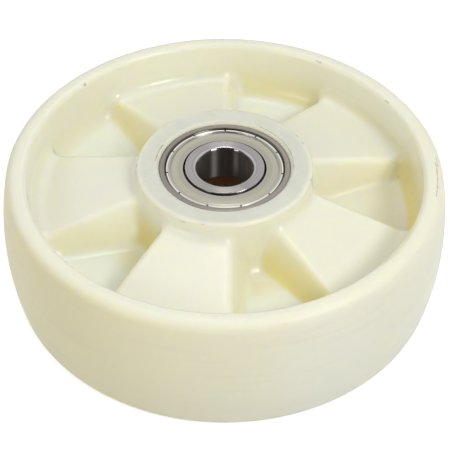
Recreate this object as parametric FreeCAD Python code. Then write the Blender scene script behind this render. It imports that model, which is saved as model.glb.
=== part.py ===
"""Moulded nylon wheel with a shielded ball bearing pressed into each side of its hub.

Millimetres. The wheel turns about Z, its middle plane is Z = 0, and it lies on one flat side.
One spoke points along -X, and one pocket along +X.
"""
import FreeCAD, Part
import math
import os

# Wheel body: tread and rim.
WHEEL_DIAMETER = 160.0
TREAD_WIDTH = 50.0
TREAD_CROWN_RADIUS = 105.0
SHOULDER_ROUND = 4.0
RIM_WALL = 6.5
RIM_LIP_ROUND = 2.0

# Wheel body: hub.
HUB_LENGTH = 50.0
HUB_WALL = 7.8
HUB_EDGE_ROUND = 1.2
HUB_SHOULDER = 3.0
SEAT_CHAMFER = 1.0
BEARING_RECESS = 1.0

# Wheel body: web, spokes and the pockets between them.
WEB_THICKNESS = 6.0
POCKET_DRAFT = 3.0
POCKET_FLOOR_ROUND = 8.0
SPOKE_COUNT = 5
SPOKE_HALF_ANGLE = 12.2
SPOKE_FOOT_OFFSET = 11.1
SPOKE_SIDE_DRAFT = 20.0
SPOKE_DROP_AT_HUB = 5.8
SPOKE_RISE_AT_RIM = 5.5
SPOKE_EDGE_ROUND = 3.0
SPOKE_ROOT_ROUND = 5.0

# Bearing: rings.
BEARING_BORE = 20.0
BEARING_OUTSIDE = 47.0
BEARING_WIDTH = 14.0
BORE_ROUND = 1.0
RING_ROUND = 0.6
LAND_ROUND = 0.3

# Bearing: balls and the grooves they run in. The ball takes its share of the section between bore
# and outside, and each land stands off the pitch circle by its share of the ball's radius.
BALL_COUNT = 8
BALL_SHARE = 0.588
INNER_LAND_SHARE = 0.642
OUTER_LAND_SHARE = 0.693
BALL_CLEARANCE = 0.02
GROOVE_OPENING = 1.04

# Bearing: riveted cage.
CAGE_SIDE_GAP = 0.75
CAGE_THICKNESS = 0.5
CAGE_CLEARANCE = 0.06
RIVET_DIAMETER = 1.0
RIVET_HEAD_DIAMETER = 1.9
RIVET_HEAD_HEIGHT = 0.4
RIVET_CLEARANCE = 0.02

# Bearing: shields, sprung into a seat at each mouth of the outer ring.
SHIELD_THICKNESS = 0.4
SHIELD_GAP = 0.7
SHIELD_RECESS = 0.6
SHIELD_STEP_WIDTH = 1.1
SHIELD_RIM_WIDTH = 1.1
SHIELD_SEAT_WALL = 2.4
SHIELD_SEAT_DEPTH = 1.4
SHIELD_SEAT_CLEARANCE = 0.02
SHIELD_MOUTH_FLARE = 0.4
SHIELD_SLITS = 11
SHIELD_SLIT_WIDTH = 0.6
SHIELD_SLIT_TURN = 89.0

ORIGIN = FreeCAD.Vector(0, 0, 0)
AXIS = FreeCAD.Vector(0, 0, 1)
FULL_TURN = 360.0
NEAR = 1e-4

wheel_radius = WHEEL_DIAMETER / 2
half_tread = TREAD_WIDTH / 2
half_hub = HUB_LENGTH / 2
half_web = WEB_THICKNESS / 2
crown_at_shoulder = math.sqrt(TREAD_CROWN_RADIUS ** 2 - half_tread ** 2)
shoulder_radius = wheel_radius - TREAD_CROWN_RADIUS + crown_at_shoulder
rim_mouth_radius = shoulder_radius - RIM_WALL
seat_radius = BEARING_OUTSIDE / 2
hub_radius = seat_radius + HUB_WALL
pocket_lean = math.tan(math.radians(POCKET_DRAFT))
hub_foot = hub_radius + (half_hub - half_web) * pocket_lean
rim_foot = rim_mouth_radius - (half_tread - half_web) * pocket_lean
spoke_half_angle = math.radians(SPOKE_HALF_ANGLE)
spoke_side_draft = math.radians(SPOKE_SIDE_DRAFT)

half_bearing = BEARING_WIDTH / 2
bearing_middle = half_hub - BEARING_RECESS - half_bearing
bore_radius = BEARING_BORE / 2
pitch_radius = (bore_radius + seat_radius) / 2
ball_radius = (seat_radius - bore_radius) * BALL_SHARE / 2
ball_step = FULL_TURN / BALL_COUNT
groove_radius = ball_radius * GROOVE_OPENING
inner_land = pitch_radius - ball_radius * INNER_LAND_SHARE
outer_land = pitch_radius + ball_radius * OUTER_LAND_SHARE
shield_radius = seat_radius - SHIELD_SEAT_WALL
shield_seat_height = half_bearing - SHIELD_SEAT_DEPTH
shield_roll_start = shield_seat_height + SHIELD_THICKNESS


def at(radius, height):
    """Point of a turned section, in the XZ plane."""
    return FreeCAD.Vector(radius, 0, height)


def turned(outline):
    """Solid of revolution about Z.

    Each entry of the outline is a point (radius, height), or a pair of points for an arc that
    passes through the first and ends at the second.
    """
    start = at(*outline[0])
    here = start
    edges = []
    for step in outline[1:]:
        if isinstance(step[0], tuple):
            middle = at(*step[0])
            end = at(*step[1])
            edges.append(Part.Arc(here, middle, end).toShape())
        else:
            end = at(*step)
            edges.append(Part.LineSegment(here, end).toShape())
        here = end
    edges.append(Part.LineSegment(here, start).toShape())
    return Part.Face(Part.Wire(edges)).revolve(ORIGIN, AXIS, FULL_TURN)


def round_edges(shape, radius, wanted):
    """Fillet every edge of the shape that the test picks."""
    return shape.makeFillet(radius, [edge for edge in shape.Edges if wanted(edge)])


def is_ring_at(radius, height):
    """Test for a round edge about the wheel's axis, at this radius and height."""
    def wanted(edge):
        point = edge.Vertexes[0].Point
        on_radius = abs(math.hypot(point.x, point.y) - radius) < NEAR
        return on_radius and abs(edge.CenterOfMass.z - height) < NEAR and abs(point.z - height) < NEAR
    return wanted


def mirrored(shape, height=0.0):
    """Copy turned over about the level plane at this height."""
    return shape.mirror(FreeCAD.Vector(0, 0, height), AXIS)


def turned_about_axis(shape, angle):
    """Copy turned about Z."""
    copy = shape.copy()
    copy.rotate(ORIGIN, AXIS, angle)
    return copy


def rounds_within(wall, *rounds):
    """Fillet radii on the two edges of one wall, smaller together where the wall is too thin for them."""
    share = min(1.0, wall / sum(rounds))
    return [share * each for each in rounds]


def ring_blank():
    """Upper half of the hub, web and rim, with a trough all the way round."""
    hub_bore = seat_radius - HUB_SHOULDER
    seat_floor = bearing_middle - half_bearing
    crown_centre = wheel_radius - TREAD_CROWN_RADIUS
    mid_height = half_tread / 2
    mid_crown = crown_centre + math.sqrt(TREAD_CROWN_RADIUS ** 2 - mid_height ** 2)
    blank = turned([
        (hub_bore, 0),
        (hub_bore, seat_floor),
        (seat_radius, seat_floor),
        (seat_radius, half_hub - SEAT_CHAMFER),
        (seat_radius + SEAT_CHAMFER, half_hub),
        (hub_radius, half_hub),
        (hub_foot, half_web),
        (rim_foot, half_web),
        (rim_mouth_radius, half_tread),
        (shoulder_radius, half_tread),
        ((mid_crown, mid_height), (wheel_radius, 0)),
    ])
    shoulder_round, lip_round = rounds_within(RIM_WALL, SHOULDER_ROUND, RIM_LIP_ROUND)
    blank = round_edges(blank, POCKET_FLOOR_ROUND, is_ring_at(hub_foot, half_web))
    blank = round_edges(blank, POCKET_FLOOR_ROUND, is_ring_at(rim_foot, half_web))
    blank = round_edges(blank, shoulder_round, is_ring_at(shoulder_radius, half_tread))
    blank = round_edges(blank, lip_round, is_ring_at(rim_mouth_radius, half_tread))
    return round_edges(blank, HUB_EDGE_ROUND, is_ring_at(hub_radius, half_hub))


def solid_between(lower, upper):
    """Solid with flat sides between two outlines that have as many corners each."""
    count = len(lower)
    faces = [lower[::-1], upper]
    for k in range(count):
        after = (k + 1) % count
        faces.append([lower[k], lower[after], upper[after], upper[k]])
    return Part.Solid(Part.Shell([Part.Face(Part.makePolygon(face + face[:1])) for face in faces]))


def spoke():
    """Wedge along +X from inside the hub's wall into the rim, its top falling towards the rim."""
    start = seat_radius + HUB_WALL / 2
    end = rim_mouth_radius + RIM_WALL / 4
    top_at_hub = half_hub - SPOKE_DROP_AT_HUB
    top_at_rim = half_web + SPOKE_RISE_AT_RIM
    fall = (top_at_hub - top_at_rim) / (rim_mouth_radius - hub_radius)

    def top_at(x):
        return top_at_hub - (x - hub_radius) * fall

    def corners(start_height, end_height):
        points = []
        for x, height, side in ((start, start_height, -1), (end, end_height, -1),
                                (end, end_height, 1), (start, start_height, 1)):
            offset = SPOKE_FOOT_OFFSET - (height - half_web) * math.tan(spoke_side_draft)
            half_width = x * math.tan(spoke_half_angle) + offset / math.cos(spoke_half_angle)
            points.append(FreeCAD.Vector(x, side * half_width, height))
        return points

    wedge = solid_between(corners(0, 0), corners(top_at(start), top_at(end)))

    def is_top_side(edge):
        ends = [vertex.Point for vertex in edge.Vertexes]
        return min(end.z for end in ends) > NEAR and abs(ends[0].x - ends[1].x) > NEAR

    return round_edges(wedge, SPOKE_EDGE_ROUND, is_top_side)


def spoke_root_round():
    """Fillet along the foot of a spoke, limited by the pocket's narrow end on its floor round."""
    rise = POCKET_FLOOR_ROUND * (1 - math.sqrt(0.5))
    pocket_half_angle = math.pi / SPOKE_COUNT - spoke_half_angle
    offset = SPOKE_FOOT_OFFSET - rise * math.tan(spoke_side_draft)
    half_gap = (hub_foot + rise) * math.sin(pocket_half_angle) - offset
    half_corner = (math.pi / 2 - spoke_side_draft) / 2
    return min(SPOKE_ROOT_ROUND, half_gap / math.tan(half_corner))


def shared_edges(shape, first, second):
    """Edges of a fused shape that lie on the surfaces of both shapes it was made from."""
    def on_both(edge):
        for share in (0.1, 0.5, 0.9):
            where = edge.FirstParameter + share * (edge.LastParameter - edge.FirstParameter)
            point = Part.Vertex(edge.valueAt(where))
            if any(point.distToShape(shell)[0] > NEAR for shell in (first, second)):
                return False
        return True
    return [edge for edge in shape.Edges if on_both(edge)]


def wheel_body():
    """The whole moulding: upper half with its spokes, and its mirror image."""
    blank = ring_blank()
    blank_skin = blank.Shells[0]
    spokes = [turned_about_axis(spoke(), FULL_TURN * (k + 0.5) / SPOKE_COUNT) for k in range(SPOKE_COUNT)]
    half = blank.fuse(spokes)
    roots = []
    for each in spokes:
        roots += shared_edges(half, blank_skin, each.Shells[0])
    above_web = [edge for edge in roots if edge.BoundBox.ZMax > NEAR]
    half = half.makeFillet(spoke_root_round(), above_web)
    return half.fuse(mirrored(half)).removeSplitter()


def groove_half_width(groove_centre, land_radius):
    """Half the width of a ball groove where it meets the land of its ring."""
    return math.sqrt(groove_radius ** 2 - (land_radius - groove_centre) ** 2)


def round_both_ends(ring, radius, at_radius):
    """Fillet the edges at this radius on the two flat ends of a bearing ring."""
    for height in (half_bearing, -half_bearing):
        ring = round_edges(ring, radius, is_ring_at(at_radius, height))
    return ring


def inner_ring():
    """Inner ring about the middle of its bearing, with rounded corners and a ball groove."""
    groove_bottom = pitch_radius - ball_radius - BALL_CLEARANCE
    groove_edge = groove_half_width(groove_bottom + groove_radius, inner_land)
    ring = turned([
        (bore_radius, half_bearing),
        (bore_radius, -half_bearing),
        (inner_land, -half_bearing),
        (inner_land, -groove_edge),
        ((groove_bottom, 0), (inner_land, groove_edge)),
        (inner_land, half_bearing),
    ])
    ring = round_both_ends(ring, BORE_ROUND, bore_radius)
    return round_both_ends(ring, LAND_ROUND, inner_land)


def outer_ring():
    """Outer ring about the middle of its bearing, with a ball groove and a shield seat each side."""
    groove_bottom = pitch_radius + ball_radius + BALL_CLEARANCE
    groove_edge = groove_half_width(groove_bottom - groove_radius, outer_land)
    shield_seat = shield_radius + SHIELD_SEAT_CLEARANCE
    mouth = shield_seat + SHIELD_MOUTH_FLARE
    upper = [
        (outer_land, groove_edge),
        (outer_land, shield_seat_height),
        (shield_seat, shield_seat_height),
        (shield_seat, shield_roll_start),
        (mouth, shield_roll_start + SHIELD_MOUTH_FLARE),
        (mouth, half_bearing),
        (seat_radius, half_bearing),
    ]
    lower = [(radius, -height) for radius, height in reversed(upper)]
    groove = ((groove_bottom, 0), upper[0])
    ring = turned(lower[-1:] + [groove] + upper[1:] + lower[:-1])
    return round_both_ends(ring, RING_ROUND, seat_radius)


def shield():
    """Dished sheet ring with a slit, rolled rim, on the upper side of its bearing."""
    inner = inner_land + SHIELD_GAP
    rim_start = shield_radius - SHIELD_RIM_WIDTH
    roll_radius = SHIELD_RIM_WIDTH / 2
    roll_middle = rim_start + roll_radius
    flat_end = rim_start - SHIELD_STEP_WIDTH
    top = half_bearing - SHIELD_RECESS
    ring = turned([
        (inner, top),
        (inner, top - SHIELD_THICKNESS),
        (flat_end, top - SHIELD_THICKNESS),
        (rim_start, shield_seat_height),
        (shield_radius, shield_seat_height),
        (shield_radius, shield_roll_start),
        ((roll_middle, shield_roll_start + roll_radius), (rim_start, shield_roll_start)),
        (flat_end, top),
    ])
    slit_start = rim_start + SHIELD_THICKNESS / 2
    slit = Part.makeBox(SHIELD_RIM_WIDTH, SHIELD_SLIT_WIDTH, BEARING_WIDTH,
                        FreeCAD.Vector(slit_start, -SHIELD_SLIT_WIDTH / 2, 0))
    return ring.cut([turned_about_axis(slit, SHIELD_SLIT_TURN + FULL_TURN * k / SHIELD_SLITS)
                     for k in range(SHIELD_SLITS)])


def round_ball_circle(shape, half_step=False):
    """Copies of a shape made at the pitch circle on +X: one for each ball, or for each gap."""
    turn = ball_step / 2 if half_step else 0.0
    return [turned_about_axis(shape, turn + ball_step * k) for k in range(BALL_COUNT)]


def ball_at_pitch(radius):
    """Ball of this radius, on the pitch circle at +X."""
    return Part.makeSphere(radius, FreeCAD.Vector(pitch_radius, 0, 0))


def cage_half():
    """Upper half of the pressed cage: a flat ribbon that cups each ball, with rivet holes between."""
    half_width = pitch_radius - inner_land - CAGE_SIDE_GAP
    outer = pitch_radius + half_width
    inner = pitch_radius - half_width
    pocket = ball_radius + CAGE_CLEARANCE
    cup = pocket + CAGE_THICKNESS

    def ribbon(height):
        return Part.makeCylinder(outer, height).cut(Part.makeCylinder(inner, height))

    hole = Part.makeCylinder(RIVET_DIAMETER / 2 + RIVET_CLEARANCE, CAGE_THICKNESS,
                             FreeCAD.Vector(pitch_radius, 0, 0))
    cups = ribbon(2 * cup).common(Part.makeCompound(round_ball_circle(ball_at_pitch(cup))))
    half = ribbon(CAGE_THICKNESS).fuse(cups.Solids)
    return half.cut(round_ball_circle(ball_at_pitch(pocket)) + round_ball_circle(hole, half_step=True))


def cage_rivets():
    """One headed rivet in each gap between the balls, as a group."""
    foot = FreeCAD.Vector(pitch_radius, 0, 0)
    shank = Part.makeCylinder(RIVET_DIAMETER / 2, CAGE_THICKNESS, foot)
    head_foot = foot + AXIS * CAGE_THICKNESS
    head = Part.makeCylinder(RIVET_HEAD_DIAMETER / 2, RIVET_HEAD_HEIGHT, head_foot)
    half = shank.fuse(head)
    rivet = half.fuse(mirrored(half)).removeSplitter()
    return Part.makeCompound(round_ball_circle(rivet, half_step=True))


def bearing():
    """Every piece of one bearing about its own middle, by name."""
    upper_cage = cage_half()
    outer_shield = shield()
    pieces = {
        "outer_ring": outer_ring(),
        "inner_ring": inner_ring(),
        "cage_outer_half": upper_cage,
        "cage_inner_half": mirrored(upper_cage),
        "cage_rivets": cage_rivets(),
        "outer_shield": outer_shield,
        "inner_shield": mirrored(outer_shield),
    }
    for number, ball in enumerate(round_ball_circle(ball_at_pitch(ball_radius)), start=1):
        pieces[f"ball_{number}"] = ball
    return pieces


def wheel():
    """All pieces of the wheel, by name: the body and a bearing pressed into each side."""
    pieces = {"wheel_body": wheel_body()}
    for name, piece in bearing().items():
        piece.translate(AXIS * bearing_middle)
        pieces["upper_" + name] = piece
        pieces["lower_" + name] = mirrored(piece)
    return pieces


os.makedirs("parts", exist_ok=True)
for name, piece in wheel().items():
    piece.exportStep(f"parts/{name}.step")
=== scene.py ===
"""Nylon wheel with shielded ball bearings, on a plain pale floor.

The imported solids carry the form. This script gives every piece its finish, with the wear that is too fine
for the solids, and sets the camera, the floor and the lamps. Lengths are metres in the wheel's own frame:
its axle runs along Z, and the side that faces the camera is the upper one.
"""
import logging
import math
from dataclasses import dataclass, field
from enum import Enum

import bmesh
import bpy
from mathutils import Matrix, Vector

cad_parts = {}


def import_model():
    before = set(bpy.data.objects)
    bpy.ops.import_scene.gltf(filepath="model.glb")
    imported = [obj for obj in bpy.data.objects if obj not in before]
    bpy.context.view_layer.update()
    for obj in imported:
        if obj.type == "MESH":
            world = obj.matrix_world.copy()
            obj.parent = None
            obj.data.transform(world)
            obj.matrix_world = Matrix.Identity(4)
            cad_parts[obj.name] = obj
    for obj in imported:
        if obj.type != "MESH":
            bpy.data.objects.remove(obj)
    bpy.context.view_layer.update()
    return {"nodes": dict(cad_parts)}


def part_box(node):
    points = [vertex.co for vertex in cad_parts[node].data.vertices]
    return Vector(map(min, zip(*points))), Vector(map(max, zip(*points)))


LOG = logging.getLogger("nylon_wheel")
MM = 0.001

ALONG_X = (1.0, 0.0, 0.0)
ALONG_Y = (0.0, 1.0, 0.0)
ALONG_AXLE = (0.0, 0.0, 1.0)
WHITE = (1.0, 1.0, 1.0)

# Where a mix node keeps its sockets for colours.
MIX_SHARE = 0
MIX_FIRST = 6
MIX_SECOND = 7
MIX_RESULT = 2

Colour = tuple[float, float, float]
Feed = bpy.types.NodeSocket | float | tuple
Sockets = dict[str, bpy.types.NodeSocket]
# The two values that a ramp runs between, and where they aren't 0 and 1, its results there.
Steps = tuple[float, ...]


class Side(Enum):
    """The two sides of the wheel, each with its own bearing."""

    UPPER = "upper"
    LOWER = "lower"


class Metal(Enum):
    """The kinds of steel in a bearing."""

    INNER_RING = "inner ring steel"
    OUTER_RING = "outer ring steel"
    SHIELD = "shield steel"
    BALL = "ball steel"
    CAGE = "cage steel"
    RIVET = "rivet steel"


@dataclass(frozen=True)
class Grain:
    """A noise pattern: features in a metre, octaves of finer noise, and the weight of those."""

    scale: float
    detail: float = 3.0
    roughness: float = 0.55


class Graph:
    """A node tree with short calls for the nodes that the finishes use."""

    def __init__(self, tree: bpy.types.NodeTree) -> None:
        """Wrap a tree.

        Args:
            tree: node tree of a material, a world or a group.
        """
        self.tree = tree

    def add(self, kind: str, **settings: object) -> bpy.types.Node:
        """Add a node.

        Args:
            kind: the node's type name.
            settings: properties to set on it.

        Returns:
            The new node.
        """
        node = self.tree.nodes.new(kind)
        for name, value in settings.items():
            setattr(node, name, value)
        return node

    def feed(self, target: bpy.types.NodeSocket, value: Feed) -> None:
        """Give an input a link or a constant.

        Args:
            target: the input socket.
            value: an output socket to link, or a constant to set.
        """
        if isinstance(value, bpy.types.NodeSocket):
            self.tree.links.new(value, target)
        elif target.type == "RGBA":
            target.default_value = (*value, 1.0)
        else:
            target.default_value = value

    def math(self, operation: str, first: Feed, second: Feed = 0.0) -> bpy.types.NodeSocket:
        """Join two values by a math operation.

        Args:
            operation: name of the operation.
            first: first value.
            second: second value.

        Returns:
            The result.
        """
        node = self.add("ShaderNodeMath", operation=operation)
        self.feed(node.inputs[0], first)
        self.feed(node.inputs[1], second)
        return node.outputs[0]

    def product(self, first: Feed, *others: Feed) -> bpy.types.NodeSocket:
        """Multiply values together.

        Args:
            first: first value.
            others: the values that it is multiplied by.

        Returns:
            The product.
        """
        result = first
        for other in others:
            result = self.math("MULTIPLY", result, other)
        return result

    def ramp(self, value: Feed, low: Feed, high: Feed, start: Feed = 0.0, end: Feed = 1.0,
             kind: str = "SMOOTHSTEP") -> bpy.types.NodeSocket:
        """Map a value from one range to another.

        Args:
            value: the value to map.
            low: value that gives start.
            high: value that gives end.
            start: result at low and before it.
            end: result at high and past it.
            kind: how it goes from one to the other.

        Returns:
            The mapped value.
        """
        node = self.add("ShaderNodeMapRange", interpolation_type=kind)
        for socket, given in zip(node.inputs, (value, low, high, start, end)):
            self.feed(socket, given)
        return node.outputs[0]

    def pick(self, mask: Feed, without: Feed, within: Feed) -> bpy.types.NodeSocket:
        """One value where a mask is 0, and another where it is 1."""
        return self.ramp(mask, 0.0, 1.0, without, within, "LINEAR")

    def blend(self, share: Feed, first: Feed, second: Feed) -> bpy.types.NodeSocket:
        """Mix two colours.

        Args:
            share: share of the second colour.
            first: first colour.
            second: second colour.

        Returns:
            The mixed colour.
        """
        node = self.add("ShaderNodeMix", data_type="RGBA")
        self.feed(node.inputs[MIX_SHARE], share)
        self.feed(node.inputs[MIX_FIRST], first)
        self.feed(node.inputs[MIX_SECOND], second)
        return node.outputs[MIX_RESULT]

    def noise(self, vector: Feed, grain: Grain) -> bpy.types.NodeSocket:
        """Noise between 0 and 1.

        Args:
            vector: place to read it at.
            grain: the pattern.

        Returns:
            The noise value.
        """
        node = self.add("ShaderNodeTexNoise")
        self.feed(node.inputs["Vector"], vector)
        self.feed(node.inputs["Scale"], grain.scale)
        self.feed(node.inputs["Detail"], grain.detail)
        self.feed(node.inputs["Roughness"], grain.roughness)
        return node.outputs["Fac"]

    def dot(self, first: Feed, second: Feed) -> bpy.types.NodeSocket:
        """Dot product of two vectors.

        Args:
            first: first vector.
            second: second vector.

        Returns:
            The product.
        """
        node = self.add("ShaderNodeVectorMath", operation="DOT_PRODUCT")
        self.feed(node.inputs[0], first)
        self.feed(node.inputs[1], second)
        return node.outputs["Value"]

    def stretch(self, vector: Feed, scale: tuple[float, float, float]) -> bpy.types.NodeSocket:
        """Scale a place along each axis, so that a pattern read there is drawn out along the smaller ones.

        Args:
            vector: the place.
            scale: factor along each axis.

        Returns:
            The scaled place.
        """
        node = self.add("ShaderNodeVectorMath", operation="MULTIPLY")
        self.feed(node.inputs[0], vector)
        self.feed(node.inputs[1], scale)
        return node.outputs[0]

    def bump(self, height: Feed, strength: float, distance: float) -> bpy.types.NodeSocket:
        """Normal of a surface with fine relief.

        Args:
            height: the relief, between 0 and 1.
            strength: how much of it shows.
            distance: height of the relief.

        Returns:
            The normal.
        """
        node = self.add("ShaderNodeBump")
        self.feed(node.inputs["Height"], height)
        self.feed(node.inputs["Strength"], strength)
        self.feed(node.inputs["Distance"], distance)
        return node.outputs["Normal"]

    def place(self) -> bpy.types.NodeSocket:
        """Object coordinates, which are the wheel's own frame on every piece."""
        return self.add("ShaderNodeTexCoord").outputs["Object"]

    def group(self, tree: bpy.types.NodeTree, **values: Feed) -> bpy.types.Node:
        """Place a node group.

        Args:
            tree: the group's tree.
            values: its inputs by name, with underscores for spaces.

        Returns:
            The group node.
        """
        node = self.add("ShaderNodeGroup", node_tree=tree)
        for name, value in values.items():
            self.feed(node.inputs[name.replace("_", " ")], value)
        return node


class EffectGroups:
    """Shader node groups that the finishes share, each built once."""

    ring_grain = Grain(1.0, 2.0, 0.6)
    ring_shade_grain = Grain(0.22, 2.0, 0.5)

    def __init__(self) -> None:
        """Build the groups."""
        self.wheel_place = self._wheel_place()
        self.arc_distance = self._arc_distance()
        self.turning_marks = self._turning_marks()
        self.grime_specks = self._grime_specks()

    @staticmethod
    def _start(name: str, inputs: tuple[str, ...],
               outputs: tuple[str, ...]) -> tuple[Graph, Sockets, Sockets]:
        """Start a group with its sockets, which all carry values.

        Args:
            name: the group's name.
            inputs: names of its inputs.
            outputs: names of its outputs.

        Returns:
            The group's graph, the sockets that give its inputs and those that take its outputs.
        """
        tree = bpy.data.node_groups.new(name, "ShaderNodeTree")
        for title in inputs:
            tree.interface.new_socket(title, in_out="INPUT", socket_type="NodeSocketFloat")
        for title in outputs:
            tree.interface.new_socket(title, in_out="OUTPUT", socket_type="NodeSocketFloat")
        graph = Graph(tree)
        entry = graph.add("NodeGroupInput")
        leave = graph.add("NodeGroupOutput")
        sources = {socket.name: socket for socket in entry.outputs if socket.name}
        targets = {socket.name: socket for socket in leave.inputs if socket.name}
        return graph, sources, targets

    def _wheel_place(self) -> bpy.types.NodeTree:
        """Build the place about the axle.

        Returns:
            A group that gives the radius, the height along the axle and the angle about it.
        """
        graph, _, targets = self._start("wheel_place", (), ("Radius", "Height", "Angle"))
        split = graph.add("ShaderNodeSeparateXYZ")
        graph.feed(split.inputs[0], graph.place())
        x, y, z = split.outputs
        square = graph.math("ADD", graph.product(x, x), graph.product(y, y))
        graph.feed(targets["Radius"], graph.math("SQRT", square))
        graph.feed(targets["Height"], z)
        graph.feed(targets["Angle"], graph.math("ARCTAN2", y, x))
        return graph.tree

    def _arc_distance(self) -> bpy.types.NodeTree:
        """Build the distance to an arc about the axle, for wear that runs along an edge.

        Returns:
            A group that gives the distance.
        """
        graph, sources, targets = self._start(
            "arc_distance", ("Radius", "Height", "Azimuth", "Half length"), ("Distance",))
        where = graph.group(self.wheel_place)
        radius = where.outputs["Radius"]
        apart = graph.math("COSINE", graph.math("SUBTRACT", where.outputs["Angle"], sources["Azimuth"]))
        along = graph.product(graph.math("ARCCOSINE", apart), radius)
        beyond = graph.math("MAXIMUM", graph.math("SUBTRACT", along, sources["Half length"]), 0.0)
        across = graph.math("SUBTRACT", radius, sources["Radius"])
        above = graph.math("SUBTRACT", where.outputs["Height"], sources["Height"])
        level = graph.math("ADD", graph.product(beyond, beyond), graph.product(across, across))
        total = graph.math("ADD", level, graph.product(above, above))
        graph.feed(targets["Distance"], graph.math("SQRT", total))
        return graph.tree

    def _turning_marks(self) -> bpy.types.NodeTree:
        """Build the fine rings that a lathe or a grinding wheel leaves about the axle.

        Returns:
            A group that gives the rings' height, and a shade that changes over several of them.
        """
        graph, sources, targets = self._start(
            "turning_marks", ("Rings per metre", "Waver"), ("Height", "Shade"))
        where = graph.group(self.wheel_place)
        rings = sources["Rings per metre"]
        around = graph.math("COSINE", where.outputs["Angle"])
        vector = graph.add("ShaderNodeCombineXYZ")
        graph.feed(vector.inputs[0], graph.product(where.outputs["Radius"], rings))
        graph.feed(vector.inputs[1], graph.product(where.outputs["Height"], rings))
        graph.feed(vector.inputs[2], graph.product(around, sources["Waver"]))
        graph.feed(targets["Height"], graph.noise(vector.outputs[0], self.ring_grain))
        graph.feed(targets["Shade"], graph.noise(vector.outputs[0], self.ring_shade_grain))
        return graph.tree

    def _grime_specks(self) -> bpy.types.NodeTree:
        """Build small scattered specks, of which some cells have one.

        Returns:
            A group that gives a mask of them.
        """
        graph, sources, targets = self._start(
            "grime_specks", ("Cells per metre", "Speck", "Share"), ("Mask",))
        cells = graph.add("ShaderNodeTexVoronoi")
        graph.feed(cells.inputs["Vector"], graph.place())
        graph.feed(cells.inputs["Scale"], sources["Cells per metre"])
        near = graph.math("LESS_THAN", cells.outputs["Distance"], sources["Speck"])
        split = graph.add("ShaderNodeSeparateColor")
        graph.feed(split.inputs[0], cells.outputs["Color"])
        chosen = graph.math("LESS_THAN", split.outputs[0], sources["Share"])
        graph.feed(targets["Mask"], graph.product(near, chosen))
        return graph.tree


@dataclass(frozen=True)
class Surface:
    """Where a point of a surface is, and which way it faces.

    Its from_middle is the distance from the wheel's middle plane, and its level is 1 where the surface lies
    flat across the axle and 0 where it runs along the axle.
    """

    place: bpy.types.NodeSocket
    normal: bpy.types.NodeSocket
    radius: bpy.types.NodeSocket
    height: bpy.types.NodeSocket
    from_middle: bpy.types.NodeSocket
    level: bpy.types.NodeSocket

    @classmethod
    def read(cls, graph: Graph, groups: EffectGroups) -> "Surface":
        """Add the nodes that read it.

        Args:
            graph: the material's graph.
            groups: the shared effects.

        Returns:
            The surface.
        """
        coordinates = graph.add("ShaderNodeTexCoord")
        where = graph.group(groups.wheel_place)
        normal = coordinates.outputs["Normal"]
        return cls(
            place=coordinates.outputs["Object"],
            normal=normal,
            radius=where.outputs["Radius"],
            height=where.outputs["Height"],
            from_middle=graph.math("ABSOLUTE", where.outputs["Height"]),
            level=graph.math("ABSOLUTE", graph.dot(normal, ALONG_AXLE)),
        )


@dataclass(frozen=True)
class WearMark:
    """A nick, scuff or line on the nylon, which runs along an arc about the axle, its azimuth in degrees."""

    radius: float
    height: float
    azimuth: float
    length: float
    width: float
    strength: float
    core_share: float = 0.3

    def mask(self, graph: Graph, groups: EffectGroups, waver: bpy.types.NodeSocket) -> bpy.types.NodeSocket:
        """Draw the mark.

        Args:
            graph: the material's graph.
            groups: the shared effects.
            waver: noise that makes the mark's edge uneven.

        Returns:
            A mask of the mark, as strong as it is dark.
        """
        near = graph.group(groups.arc_distance, Radius=self.radius, Height=self.height,
                           Azimuth=math.radians(self.azimuth), Half_length=self.length / 2)
        uneven = graph.product(near.outputs["Distance"], waver)
        return graph.ramp(uneven, self.width, self.core_share * self.width, 0.0, self.strength)


WEAR_MARKS = (
    # Nicks on the rim's inner edge.
    WearMark(70.7 * MM, 24.0 * MM, 138.3, 0.8 * MM, 0.8 * MM, 0.45),
    WearMark(71.0 * MM, 24.4 * MM, 58.6, 2.0 * MM, 0.6 * MM, 0.3),
    WearMark(70.9 * MM, 24.3 * MM, 30.6, 1.6 * MM, 0.7 * MM, 0.28),
    # A long scuff on the shoulder.
    WearMark(75.0 * MM, 24.8 * MM, 354.0, 18.0 * MM, 0.35 * MM, 0.4),
    WearMark(75.6 * MM, 24.6 * MM, 1.0, 6.0 * MM, 0.3 * MM, 0.3),
    # Knocks round the hub's edge.
    WearMark(31.3 * MM, 24.2 * MM, 179.8, 1.2 * MM, 0.5 * MM, 0.8),
    WearMark(30.7 * MM, 24.8 * MM, 30.7, 1.2 * MM, 0.5 * MM, 0.4),
    WearMark(30.7 * MM, 24.8 * MM, 22.5, 1.0 * MM, 0.5 * MM, 0.4),
    WearMark(31.2 * MM, 24.4 * MM, 345.7, 0.8 * MM, 0.6 * MM, 0.45),
    WearMark(31.1 * MM, 24.4 * MM, 255.8, 1.0 * MM, 0.5 * MM, 0.18),
    WearMark(31.3 * MM, 23.5 * MM, 243.0, 1.0 * MM, 0.6 * MM, 0.2),
    # Grit in the pocket on the right.
    WearMark(66.5 * MM, 5.4 * MM, 13.1, 0.4 * MM, 0.6 * MM, 0.15),
    WearMark(68.8 * MM, 7.3 * MM, 3.5, 0.4 * MM, 0.5 * MM, 0.2),
    # The lip that the bearing scraped as it was pressed in.
    WearMark(24.5 * MM, 25.0 * MM, 27.0, 28.0 * MM, 0.28 * MM, 0.45),
    WearMark(24.6 * MM, 25.0 * MM, 165.0, 9.0 * MM, 0.3 * MM, 0.55),
)


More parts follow.
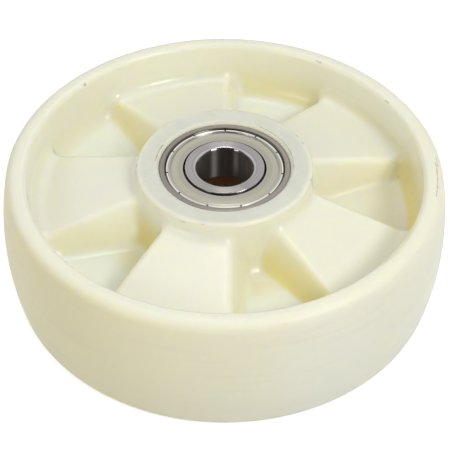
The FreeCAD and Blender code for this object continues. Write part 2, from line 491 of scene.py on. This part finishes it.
def new_material(name: str) -> tuple[bpy.types.Material, Graph, bpy.types.Node]:
    """Make a material with a plain shader.

    Args:
        name: the material's name.

    Returns:
        The material, its graph and its shader.
    """
    material = bpy.data.materials.new(name)
    material.use_nodes = True
    return material, Graph(material.node_tree), material.node_tree.nodes["Principled BSDF"]


@dataclass(frozen=True)
class NylonFinish:
    """Natural nylon: pale, waxy, translucent for a few millimetres, with painted shade on its less lit side.

    The moulded skin's roughness stays below about 0.27, and the tread's above it: a roughness that crosses
    that value within a smooth surface leaves lines in a denoised render.
    """

    name: str = "natural_nylon"
    pale: Colour = (0.89, 0.885, 0.755)
    cream: Colour = (0.88, 0.86, 0.68)
    # Painted shade: the tread's darker, yellower colour on the side away from the main lamp.
    painted_tread_shade: Colour = (0.84, 0.74, 0.36)
    # Painted shade: darker, yellower colour low on the pockets' walls that look away from that lamp.
    painted_pocket_shade: Colour = (0.835, 0.745, 0.34)
    # Painted light and shade on the pockets' floors: paler where lit, darker and yellower in shade.
    floor: Colour = (0.885, 0.915, 0.80)
    shaded_floor: Colour = (0.85, 0.81, 0.62)
    painted_hub_floor_shade: Colour = (0.86, 0.82, 0.60)
    worn: Colour = (0.74, 0.69, 0.55)
    lip: Colour = (0.85, 0.82, 0.65)
    turned: Colour = (0.715, 0.73, 0.635)
    # Painted light: orange-brown on the hub's bore, for light that reaches it through the nylon.
    inside: Colour = (0.96, 0.58, 0.32)
    dirt: Colour = (0.19, 0.18, 0.12)

    roughness: float = 0.24
    tread_roughness: float = 0.44
    turned_roughness: float = 0.42
    seat_roughness: float = 0.55
    gloss_grain: Grain = Grain(40.0, 2.0)
    gloss_steps: Steps = (0.3, 0.7, 0.94, 1.08)
    skin_grain: Grain = Grain(350.0, 2.0)
    skin_strength: float = 0.02
    skin_relief: float = 0.1 * MM
    refraction: float = 1.53
    scatter_share: float = 0.8
    scatter_radius: Colour = (1.0, 0.85, 0.35)
    scatter_depth: float = 4.0 * MM

    cloud_grain: Grain = Grain(22.0, 1.0)
    cloud_steps: Steps = (0.35, 0.75, 0.0, 0.45)
    # The way the painted shade faces: away from the main, front-right lamp.
    painted_shade_side: tuple[float, float, float] = (-0.940, -0.342, 0.0)
    tread_facing_steps: Steps = (0.0, 1.0, 0.0, 0.64)
    tread_steps: Steps = (74.0 * MM, 78.0 * MM)
    tread_edge_radius: float = 71.5 * MM

    pocket_inner_radius: float = 31.0 * MM
    pocket_outer_radius: float = 71.0 * MM
    pocket_depth_steps: Steps = (20.5 * MM, 5.0 * MM)
    wall_steps: Steps = (0.98, 0.72)
    wall_facing_steps: Steps = (0.1, 0.55, 0.22, 1.0)
    wall_near_steps: Steps = (40.0 * MM, 10.0 * MM, 0.65, 1.0)
    floor_level_steps: Steps = (0.8, 0.99)
    floor_depth_steps: Steps = (7.0 * MM, 5.0 * MM)
    shaded_floor_steps: Steps = (36.0 * MM, 58.0 * MM)
    painted_hub_floor_shade_steps: Steps = (50.0 * MM, 40.0 * MM)

    hub_bore_radius: float = 21.5 * MM
    hub_bore_half_height: float = 10.0 * MM
    chamfer_radius: float = 24.5 * MM
    lip_height: float = 23.6 * MM
    turned_outer_steps: Steps = (32.0 * MM, 29.0 * MM)
    turned_inner_steps: Steps = (24.3 * MM, 24.6 * MM)
    turned_height_steps: Steps = (23.1 * MM, 24.6 * MM)
    turned_grain: Grain = Grain(140.0)
    turned_steps: Steps = (0.35, 0.65, 0.75, 1.0)

    rolling_grain: Grain = Grain(1.0)
    streak_stretch: tuple[float, float, float] = (25.0, 25.0, 420.0)
    streak_steps: Steps = (0.5, 0.75, 0.0, 0.18)
    patch_stretch: tuple[float, float, float] = (16.0, 16.0, 60.0)
    patch_steps: Steps = (0.35, 0.65, 0.0, 0.22)
    band_bottom_steps: Steps = (-21.0 * MM, -14.0 * MM)
    band_top_steps: Steps = (-3.0 * MM, -11.0 * MM)
    mark_grain: Grain = Grain(900.0, 2.0)
    mark_steps: Steps = (0.3, 0.7, 0.6, 1.7)
    specks_per_metre: float = 120.0
    speck_size: float = 0.03
    speck_share: float = 0.12
    speck_strength: float = 0.3

    def build(self, groups: EffectGroups) -> bpy.types.Material:
        """Make the material.

        Args:
            groups: the shared effects.

        Returns:
            The material.
        """
        material, graph, shader = new_material(self.name)
        surface = Surface.read(graph, groups)
        turned = self.turned_face(graph, surface)
        graph.feed(shader.inputs["Base Color"], self.colour(graph, groups, surface, turned))
        graph.feed(shader.inputs["Roughness"], self.gloss(graph, surface, turned))
        shader.inputs["Subsurface Weight"].default_value = self.scatter_share
        shader.inputs["Subsurface Radius"].default_value = self.scatter_radius
        shader.inputs["Subsurface Scale"].default_value = self.scatter_depth
        shader.inputs["IOR"].default_value = self.refraction
        skin = graph.noise(surface.place, self.skin_grain)
        graph.feed(shader.inputs["Normal"], graph.bump(skin, self.skin_strength, self.skin_relief))
        return material

    def gloss(self, graph: Graph, surface: Surface, turned: bpy.types.NodeSocket) -> bpy.types.NodeSocket:
        """Roughness of the moulded skin, the tread, the hub's turned ends and the bearings' seats.

        Args:
            graph: the material's graph.
            surface: where the point is.
            turned: mask of the hub's turned ends.

        Returns:
            The roughness.
        """
        outside = graph.math("GREATER_THAN", surface.radius, self.tread_edge_radius)
        moulded = graph.pick(outside, self.roughness, self.tread_roughness)
        uneven = graph.ramp(graph.noise(surface.place, self.gloss_grain), *self.gloss_steps)
        faced = graph.product(turned, self.turned_roughness - self.roughness)
        rough = graph.math("ADD", graph.product(moulded, uneven), faced)
        seat = graph.math("LESS_THAN", surface.radius, self.chamfer_radius)
        return graph.math("MAXIMUM", rough, graph.product(seat, self.seat_roughness))

    def turned_face(self, graph: Graph, surface: Surface) -> bpy.types.NodeSocket:
        """Mask of the hub's two ends, which were faced on a lathe.

        Args:
            graph: the material's graph.
            surface: where the point is.

        Returns:
            The mask.
        """
        outer = graph.ramp(surface.radius, *self.turned_outer_steps)
        inner = graph.ramp(surface.radius, *self.turned_inner_steps)
        faced = graph.ramp(surface.from_middle, *self.turned_height_steps)
        return graph.product(outer, inner, faced)

    def painted_tread_shade_mask(self, graph: Graph, surface: Surface) -> bpy.types.NodeSocket:
        """Mask of the tread's painted shade, darker and yellower on the side away from the main lamp.

        Args:
            graph: the material's graph.
            surface: where the point is.

        Returns:
            The mask.
        """
        towards = graph.dot(surface.normal, self.painted_shade_side)
        facing = graph.ramp(towards, *self.tread_facing_steps, "LINEAR")
        return graph.product(facing, graph.ramp(surface.radius, *self.tread_steps))

    def painted_pocket_shade_mask(self, graph: Graph, surface: Surface) -> bpy.types.NodeSocket:
        """Mask of the pockets' painted shade, strongest low on the walls that look away from the main lamp.

        Args:
            graph: the material's graph.
            surface: where the point is.

        Returns:
            The mask.
        """
        within = graph.product(graph.math("GREATER_THAN", surface.radius, self.pocket_inner_radius),
                               graph.math("LESS_THAN", surface.radius, self.pocket_outer_radius))
        depth = graph.ramp(surface.from_middle, *self.pocket_depth_steps)
        upright = graph.ramp(surface.level, *self.wall_steps)
        facing = graph.ramp(graph.dot(surface.normal, self.painted_shade_side), *self.wall_facing_steps)
        near = graph.ramp(graph.dot(surface.place, ALONG_Y), *self.wall_near_steps)
        return graph.product(depth, within, upright, facing, near)

    def pocket_floors(self, graph: Graph, surface: Surface) -> bpy.types.NodeSocket:
        """Mask of the pockets' flat floors.

        Args:
            graph: the material's graph.
            surface: where the point is.

        Returns:
            The mask.
        """
        flat = graph.ramp(surface.level, *self.floor_level_steps)
        return graph.product(flat, graph.ramp(surface.from_middle, *self.floor_depth_steps))

    def floor_colour(self, graph: Graph, surface: Surface) -> bpy.types.NodeSocket:
        """Pocket floors' colour: painted light where lit, painted shade towards the hub and on the right.

        Args:
            graph: the material's graph.
            surface: where the point is.

        Returns:
            The colour.
        """
        shaded = graph.ramp(graph.dot(surface.place, ALONG_X), *self.shaded_floor_steps)
        outer = graph.blend(shaded, self.floor, self.shaded_floor)
        return graph.blend(graph.ramp(surface.radius, *self.painted_hub_floor_shade_steps), outer, self.painted_hub_floor_shade)

    def scuffs(self, graph: Graph, surface: Surface) -> bpy.types.NodeSocket:
        """Mask of the tread's wear: faint streaks along the way it rolls, and one grubby band.

        Args:
            graph: the material's graph.
            surface: where the point is.

        Returns:
            The mask.
        """
        drawn_out = graph.noise(graph.stretch(surface.place, self.streak_stretch), self.rolling_grain)
        streaks = graph.ramp(drawn_out, *self.streak_steps)
        patchy = graph.noise(graph.stretch(surface.place, self.patch_stretch), self.rolling_grain)
        band = graph.product(graph.ramp(surface.height, *self.band_bottom_steps),
                             graph.ramp(surface.height, *self.band_top_steps),
                             graph.ramp(patchy, *self.patch_steps))
        tread = graph.ramp(surface.radius, *self.tread_steps)
        return graph.product(graph.math("ADD", streaks, band), tread)

    def seat_lip(self, graph: Graph, surface: Surface) -> bpy.types.NodeSocket:
        """Mask of the chamfer at the mouth of each bearing's seat."""
        return graph.product(graph.math("LESS_THAN", surface.radius, self.chamfer_radius),
                             graph.math("GREATER_THAN", surface.from_middle, self.lip_height))

    def hub_bore(self, graph: Graph, surface: Surface) -> bpy.types.NodeSocket:
        """Mask of the hub's bore between the two bearings."""
        return graph.product(graph.math("LESS_THAN", surface.radius, self.hub_bore_radius),
                             graph.math("LESS_THAN", surface.from_middle, self.hub_bore_half_height))

    def colour(self, graph: Graph, groups: EffectGroups, surface: Surface,
               turned: bpy.types.NodeSocket) -> bpy.types.NodeSocket:
        """Join the tints and the wear.

        Args:
            graph: the material's graph.
            groups: the shared effects.
            surface: where the point is.
            turned: mask of the hub's turned ends.

        Returns:
            The surface's colour.
        """
        cloud = graph.ramp(graph.noise(surface.place, self.cloud_grain), *self.cloud_steps)
        mottle = graph.ramp(graph.noise(surface.place, self.turned_grain), *self.turned_steps)
        colour = graph.blend(cloud, self.pale, self.cream)
        tints = (
            # Painted shade on the tread and low in the pockets, on the side away from the main lamp.
            (self.painted_tread_shade_mask(graph, surface), self.painted_tread_shade),
            (self.painted_pocket_shade_mask(graph, surface), self.painted_pocket_shade),
            # Painted light and shade on the pockets' floors.
            (self.pocket_floors(graph, surface), self.floor_colour(graph, surface)),
            (self.scuffs(graph, surface), self.worn),
            (self.seat_lip(graph, surface), self.lip),
            (graph.product(turned, mottle), self.turned),
            # Painted light: orange-brown for the light that comes through the nylon into the hub's bore.
            (self.hub_bore(graph, surface), self.inside),
        )
        for mask, tint in tints:
            colour = graph.blend(mask, colour, tint)
        waver = graph.ramp(graph.noise(surface.place, self.mark_grain), *self.mark_steps)
        for mark in WEAR_MARKS:
            colour = graph.blend(mark.mask(graph, groups, waver), colour, self.dirt)
        specks = graph.group(groups.grime_specks, Cells_per_metre=self.specks_per_metre,
                             Speck=self.speck_size, Share=self.speck_share)
        return graph.blend(graph.product(specks.outputs["Mask"], self.speck_strength), colour, self.dirt)


# A radius past every piece, for an effect that a steel doesn't have.
NOWHERE = 1.0


@dataclass(frozen=True)
class SteelFinish:
    """Bearing steel with fine marks about the axle.

    An inner ring's bore is darker, as painted shade for the dim reflections in it, and the round at
    its mouth smoother. Grease darkens an outer ring inside its grease radius, and a shield's rolled rim
    is lighter metal, partly for its polish and partly as a painted highlight.
    """

    name: str
    colour: Colour
    roughness: float
    rings_per_metre: float
    mark_depth: float
    brushed: float
    shade: float = 0.75
    bore_radius: float = 0.0
    bore_roughness: float = 0.33
    # Painted shade: a darker bore, for the dim reflections within it.
    bore: Colour = (0.35, 0.33, 0.315)
    round_radius: float = 0.0
    round_roughness: float = 0.15
    round_colour: Colour = (0.45, 0.43, 0.42)
    grease_radius: float = 0.0
    grease_edge: float = 0.1 * MM
    grease: Colour = (0.03, 0.028, 0.022)
    # Lighter metal on a shield's rolled rim: partly polish, partly a painted highlight.
    polish_and_highlight_radius: float = NOWHERE
    polish_and_highlight_edge: float = 0.3 * MM
    polished: Colour = (0.76, 0.74, 0.69)
    mark_waver: float = 0.6
    mark_steps: Steps = (0.3, 0.7)
    mark_strength: float = 0.35
    smoother: float = 0.05
    rougher: float = 0.07
    brush_turn: float = 0.25

    def build(self, groups: EffectGroups) -> bpy.types.Material:
        """Make the material.

        Args:
            groups: the shared effects.

        Returns:
            The material.
        """
        material, graph, shader = new_material(self.name)
        marks = graph.group(groups.turning_marks, Rings_per_metre=self.rings_per_metre,
                            Waver=self.mark_waver)
        radius = graph.group(groups.wheel_place).outputs["Radius"]
        outside = graph.math("GREATER_THAN", radius, self.bore_radius)
        flat = graph.math("GREATER_THAN", radius, self.round_radius)

        shade = graph.product(graph.ramp(marks.outputs["Shade"], *self.mark_steps), flat)
        dark = tuple(self.shade * value for value in self.colour)
        colour = graph.blend(flat, self.round_colour, graph.blend(shade, self.colour, dark))
        # Painted shade: the bore's darker steel.
        colour = graph.blend(outside, self.bore, colour)
        # Lighter metal on the rolled rim: partly polish, partly a painted highlight.
        polish_and_highlight_mask = graph.ramp(radius, self.polish_and_highlight_radius, self.polish_and_highlight_radius + self.polish_and_highlight_edge)
        colour = graph.blend(polish_and_highlight_mask, colour, self.polished)
        greased = graph.ramp(radius, self.grease_radius, self.grease_radius - self.grease_edge)
        graph.feed(shader.inputs["Base Color"], graph.blend(greased, colour, self.grease))

        height = marks.outputs["Height"]
        rough = graph.ramp(height, *self.mark_steps, self.roughness - self.smoother,
                           self.roughness + self.rougher)
        rough = graph.pick(flat, self.round_roughness, rough)
        graph.feed(shader.inputs["Roughness"], graph.pick(outside, self.bore_roughness, rough))
        relief = graph.bump(graph.product(height, flat), self.mark_strength, self.mark_depth)
        graph.feed(shader.inputs["Normal"], relief)
        tangent = graph.add("ShaderNodeTangent", direction_type="RADIAL", axis="Z")
        graph.feed(shader.inputs["Tangent"], tangent.outputs[0])
        shader.inputs["Metallic"].default_value = 1.0
        shader.inputs["Anisotropic"].default_value = self.brushed
        shader.inputs["Anisotropic Rotation"].default_value = self.brush_turn
        return material


STEELS: dict[Metal, SteelFinish] = {
    Metal.INNER_RING: SteelFinish("inner_ring_steel", (0.43, 0.405, 0.405), roughness=0.27,
                                  rings_per_metre=5200.0, mark_depth=0.015 * MM, brushed=1.0, shade=0.78,
                                  bore_radius=10.1 * MM, round_radius=11.0 * MM),
    Metal.OUTER_RING: SteelFinish("outer_ring_steel", (0.36, 0.33, 0.29), roughness=0.30,
                                  rings_per_metre=3600.0, mark_depth=0.02 * MM, brushed=0.6, shade=0.68,
                                  grease_radius=21.45 * MM),
    Metal.SHIELD: SteelFinish("pressed_shield_steel", (0.45, 0.43, 0.355), roughness=0.33,
                              rings_per_metre=2600.0, mark_depth=0.012 * MM, brushed=0.3, shade=0.84,
                              polish_and_highlight_radius=19.7 * MM),
    Metal.BALL: SteelFinish("polished_ball_steel", (0.62, 0.61, 0.60), roughness=0.08,
                            rings_per_metre=3000.0, mark_depth=0.002 * MM, brushed=0.0),
    Metal.CAGE: SteelFinish("pressed_cage_steel", (0.50, 0.48, 0.45), roughness=0.34,
                            rings_per_metre=1800.0, mark_depth=0.01 * MM, brushed=0.1),
    Metal.RIVET: SteelFinish("rivet_steel", (0.46, 0.44, 0.42), roughness=0.32,
                             rings_per_metre=2500.0, mark_depth=0.01 * MM, brushed=0.1),
}


def dress_solid(solid: bpy.types.Object, material: bpy.types.Material) -> None:
    """Make the whole surface of a solid of one material.

    Args:
        solid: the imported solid.
        material: its material.
    """
    solid.data.materials.clear()
    solid.data.materials.append(material)


@dataclass
class Moulding:
    """The wheel's nylon body."""

    node: str = "wheel_body"
    finish: NylonFinish = field(default_factory=NylonFinish)

    def dress(self, nodes: dict[str, bpy.types.Object], groups: EffectGroups) -> None:
        """Give the moulded body its nylon.

        Args:
            nodes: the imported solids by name.
            groups: the shared effects.
        """
        dress_solid(nodes[self.node], self.finish.build(groups))
        LOG.info("%s: natural nylon", self.node)


@dataclass
class Bearing:
    """One ball bearing of the wheel."""

    side: Side
    ball_count: int = 8

    def pieces(self) -> dict[str, Metal]:
        """Name the bearing's solids.

        Returns:
            The steel of each solid, by the solid's name.
        """
        found = {
            "outer_ring": Metal.OUTER_RING,
            "inner_ring": Metal.INNER_RING,
            "outer_shield": Metal.SHIELD,
            "inner_shield": Metal.SHIELD,
            "cage_outer_half": Metal.CAGE,
            "cage_inner_half": Metal.CAGE,
            "cage_rivets": Metal.RIVET,
        }
        found |= {f"ball_{number}": Metal.BALL for number in range(1, self.ball_count + 1)}
        return {f"{self.side.value}_{name}": metal for name, metal in found.items()}

    def dress(self, nodes: dict[str, bpy.types.Object], steels: dict[Metal, bpy.types.Material]) -> None:
        """Give every solid its steel.

        Args:
            nodes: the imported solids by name.
            steels: the steel materials.
        """
        for name, metal in self.pieces().items():
            dress_solid(nodes[name], steels[metal])
            LOG.info("%s: %s", name, metal.value)


@dataclass(frozen=True)
class Lamp:
    """A soft lamp: where it hangs, in degrees about the wheel, and its power in watts."""

    name: str
    azimuth: float
    elevation: float
    power: float

    def direction(self) -> Vector:
        """Direction from the wheel to the lamp."""
        turn, lift = math.radians(self.azimuth), math.radians(self.elevation)
        return Vector((math.cos(lift) * math.cos(turn), math.cos(lift) * math.sin(turn), math.sin(lift)))


@dataclass
class Studio:
    """Camera, floor and lamps."""

    picture_width: float = 450.0
    focal_pixels: float = 1370.0
    sensor: float = 36.0
    elevation: float = math.radians(43.43)
    azimuth: float = math.radians(-0.7)
    roll: float = math.radians(0.38)
    distance: float = 0.5027
    centre_pixel: tuple[float, float] = (224.4, 215.6)
    floor_size: float = 6.0
    floor_colour: Colour = (0.6, 0.6, 0.59)
    floor_roughness: float = 0.9
    background_share: float = 0.75
    shadow_radius: Steps = (0.045, 0.085)
    world_strength: float = 0.57
    dome_top: float = 1.1
    dome_least: float = 0.02
    dome_rise: Steps = (0.1, 0.6)
    dome_depth: Steps = (-0.5, 0.2)
    lamp_distance: float = 1.15
    lamp_size: float = 0.28
    lamps: tuple[Lamp, ...] = (
        Lamp("front_right", -45.0, 45.0, 4.0),
        Lamp("front_left", -135.0, 30.0, 1.4),
        Lamp("overhead", 88.0, 74.0, 1.1),
    )

    def build(self, floor_height: float) -> None:
        """Set the whole studio.

        Args:
            floor_height: height of the surface that the wheel lies on.
        """
        self.set_camera()
        self.lay_floor(floor_height)
        self.light_world()
        self.hang_lamps()
        bpy.context.scene.view_settings.view_transform = "Standard"

    def set_camera(self) -> None:
        """Make the camera that sees the wheel as the photograph does."""
        data = bpy.data.cameras.new("camera")
        data.sensor_width = self.sensor
        data.lens = self.focal_pixels / self.picture_width * self.sensor
        middle = self.picture_width / 2
        data.shift_x = (middle - self.centre_pixel[0]) / self.picture_width
        data.shift_y = (self.centre_pixel[1] - middle) / self.picture_width
        camera = bpy.data.objects.new("camera", data)
        bpy.context.scene.collection.objects.link(camera)
        away = Matrix.Translation((0.0, -self.distance * math.cos(self.elevation),
                                   self.distance * math.sin(self.elevation)))
        tilt = Matrix.Rotation(math.pi / 2 - self.elevation, 4, "X")
        camera.matrix_world = (Matrix.Rotation(self.azimuth, 4, "Z") @ away @ tilt
                               @ Matrix.Rotation(self.roll, 4, "Z"))
        bpy.context.scene.camera = camera

    def lay_floor(self, height: float) -> None:
        """Lay a pale floor that looks white to the camera, and dark close under the wheel.

        Args:
            height: height of the floor.
        """
        mesh = bpy.data.meshes.new("floor")
        build = bmesh.new()
        bmesh.ops.create_grid(build, x_segments=1, y_segments=1, size=self.floor_size / 2)
        bmesh.ops.translate(build, verts=build.verts, vec=(0.0, 0.0, height))
        build.to_mesh(mesh)
        build.free()
        floor = bpy.data.objects.new("floor", mesh)
        bpy.context.scene.collection.objects.link(floor)
        material, graph, shader = new_material("pale_floor")
        graph.feed(shader.inputs["Base Color"], self.floor_colour)
        graph.feed(shader.inputs["Roughness"], self.floor_roughness)
        graph.feed(shader.inputs["Emission Color"], WHITE)
        flat = graph.stretch(graph.place(), (1.0, 1.0, 0.0))
        away = graph.math("SQRT", graph.dot(flat, flat))
        open_floor = graph.ramp(away, *self.shadow_radius, 0.0, self.background_share)
        graph.feed(shader.inputs["Emission Strength"], graph.product(self.seen_directly(graph), open_floor))
        mesh.materials.append(material)

    @staticmethod
    def seen_directly(graph: Graph) -> bpy.types.NodeSocket:
        """Mask of the rays that show the background: those of the camera, and those in metal and glass.

        Args:
            graph: the graph to add the nodes to.

        Returns:
            The mask.
        """
        path = graph.add("ShaderNodeLightPath")
        shown = graph.math("MAXIMUM", path.outputs["Is Camera Ray"], path.outputs["Is Glossy Ray"])
        return graph.math("MAXIMUM", shown, path.outputs["Is Transmission Ray"])

    def light_world(self) -> None:
        """Fill the room with even light: white where the camera sees it, and a bright dome in the metal.

        The dome is brightest overhead and behind the wheel, and dim on the camera's side of the room.
        """
        world = bpy.data.worlds.new("room")
        world.use_nodes = True
        bpy.context.scene.world = world
        graph = Graph(world.node_tree)
        background = world.node_tree.nodes["Background"]
        graph.feed(background.inputs["Color"], WHITE)
        direction = graph.add("ShaderNodeTexCoord").outputs["Generated"]
        above = graph.ramp(graph.dot(direction, ALONG_AXLE), *self.dome_rise, self.dome_least, self.dome_top)
        behind = graph.ramp(graph.dot(direction, ALONG_Y), *self.dome_depth, self.dome_least, 1.0)
        path = graph.add("ShaderNodeLightPath")
        mirrored = graph.math("MAXIMUM", path.outputs["Is Glossy Ray"], path.outputs["Is Transmission Ray"])
        level = graph.pick(mirrored, self.world_strength, graph.product(above, behind))
        level = graph.pick(path.outputs["Is Camera Ray"], level, 1.0)
        graph.feed(background.inputs["Strength"], level)

    def hang_lamps(self) -> None:
        """Hang the soft lamps, each a square that points at the wheel."""
        for lamp in self.lamps:
            data = bpy.data.lights.new(lamp.name, "AREA")
            data.size = self.lamp_size
            data.energy = lamp.power
            piece = bpy.data.objects.new(lamp.name, data)
            bpy.context.scene.collection.objects.link(piece)
            away = lamp.direction()
            piece.location = away * self.lamp_distance
            piece.rotation_euler = (-away).to_track_quat("-Z", "Y").to_euler()


def main() -> None:
    """Dress the wheel and set the studio round it."""
    logging.basicConfig(level=logging.INFO, format="%(name)s: %(message)s")
    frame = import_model()
    nodes = frame["nodes"]
    groups = EffectGroups()
    steels = {metal: finish.build(groups) for metal, finish in STEELS.items()}
    Moulding().dress(nodes, groups)
    for side in Side:
        Bearing(side).dress(nodes, steels)
    Studio().build(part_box("wheel_body")[0].z)


if __name__ == "__main__":
    main()
